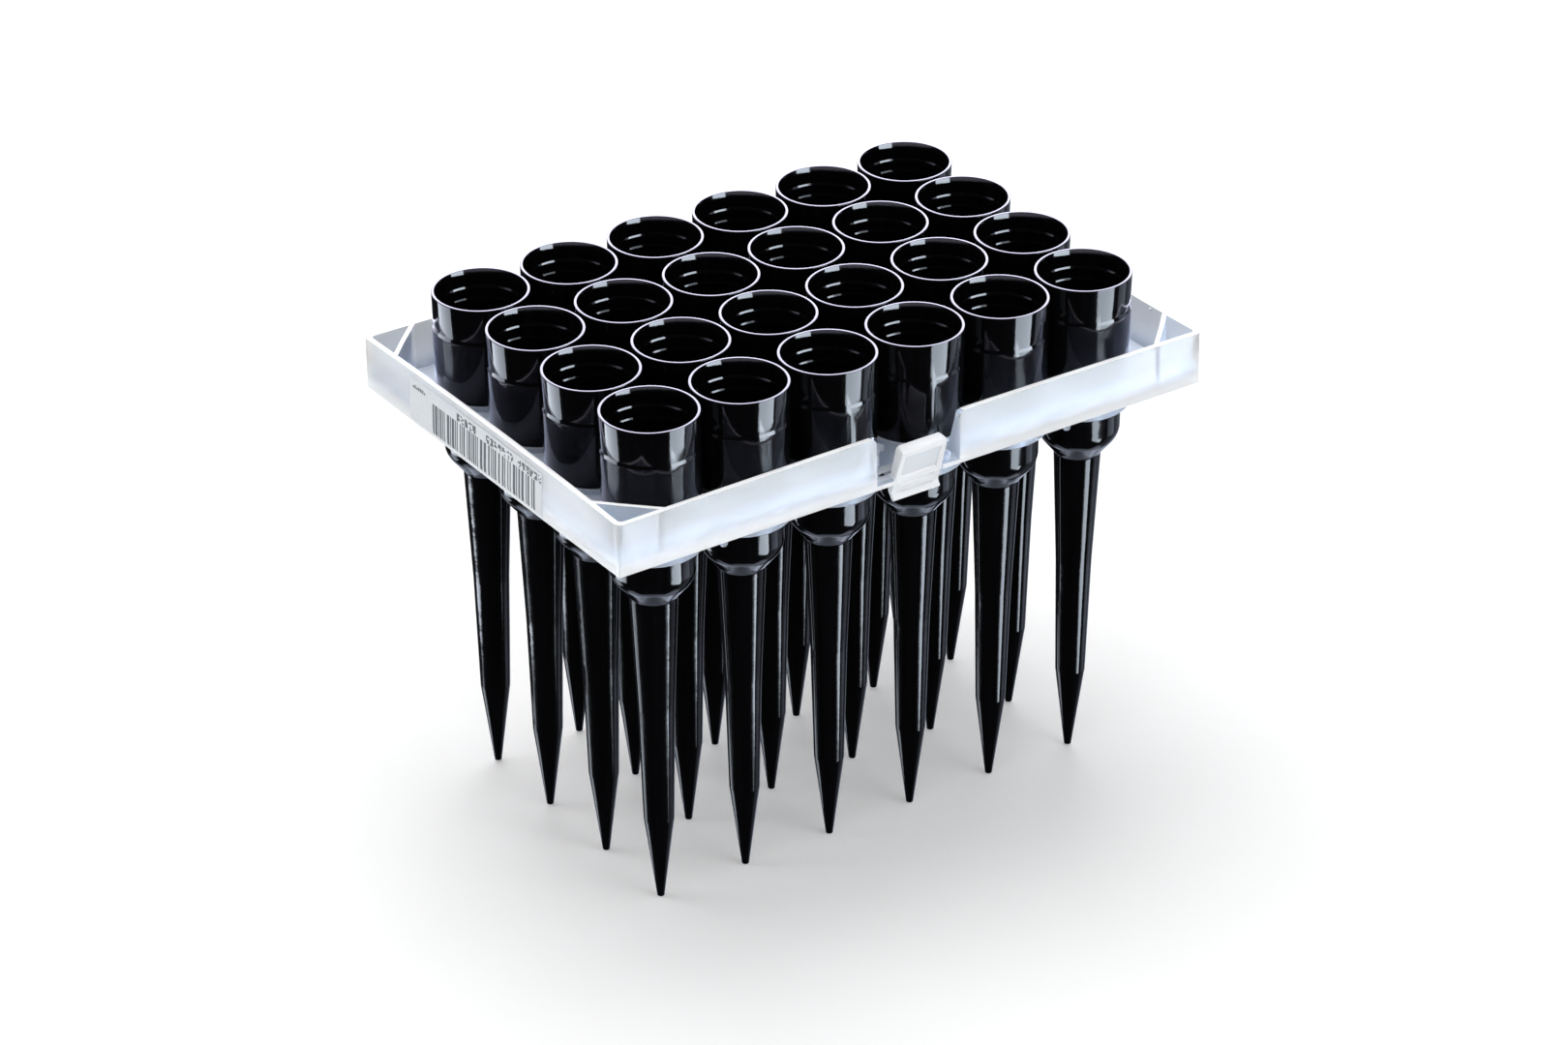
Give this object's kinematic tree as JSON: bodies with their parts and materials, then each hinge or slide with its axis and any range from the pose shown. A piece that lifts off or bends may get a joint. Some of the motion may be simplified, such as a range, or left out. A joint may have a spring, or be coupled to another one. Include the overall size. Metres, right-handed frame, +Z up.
{
  "type": "rack of pipette tips",
  "caption": "Shallow translucent tray with snap latches on its long sides, holding rows of long black hollow pipette tips that hang upright through its floor.",
  "frame": {"origin": "centre of the footprint, on the surface that the tips' ends stand on", "axes": "+X along the long side, +Z up towards the tips' mouths, -Y towards the front latch"},
  "size_m": [0.1217, 0.0858, 0.097],
  "materials": {
    "black_plastic": "glossy black carbon-filled polypropylene, moulded, fine draw lines along the length",
    "milky_plastic": "translucent milky polypropylene with a soft satin moulded surface",
    "label_film": "thin matt film printed with plain bars and dots"
  },
  "bodies": {
    "rack": {"tray": "milky_plastic", "barcode_label": "label_film", "tip_a1": "black_plastic", "tip_a2": "black_plastic", "tip_a3": "black_plastic", "tip_a4": "black_plastic", "tip_a5": "black_plastic", "tip_a6": "black_plastic", "tip_b1": "black_plastic", "tip_b2": "black_plastic", "tip_b3": "black_plastic", "tip_b4": "black_plastic", "tip_b5": "black_plastic", "tip_b6": "black_plastic", "tip_c1": "black_plastic", "tip_c2": "black_plastic", "tip_c3": "black_plastic", "tip_c4": "black_plastic", "tip_c5": "black_plastic", "tip_c6": "black_plastic", "tip_d1": "black_plastic", "tip_d2": "black_plastic", "tip_d3": "black_plastic", "tip_d4": "black_plastic", "tip_d5": "black_plastic", "tip_d6": "black_plastic"},
    "front_latch": {"front_latch": "milky_plastic"},
    "rear_latch": {"rear_latch": "milky_plastic"}
  },
  "joints": [
    {"name": "front_latch_press", "type": "hinge", "parent": "rack", "child": "front_latch", "pos_m": [0, -0.04005, 0.07685], "axis": [-1, 0, 0], "range_deg": [0, 10], "stiffness_Nm_per_rad": 0.2},
    {"name": "rear_latch_press", "type": "hinge", "parent": "rack", "child": "rear_latch", "pos_m": [0, 0.04005, 0.07685], "axis": [1, 0, 0], "range_deg": [0, 10], "stiffness_Nm_per_rad": 0.2}
  ]
}
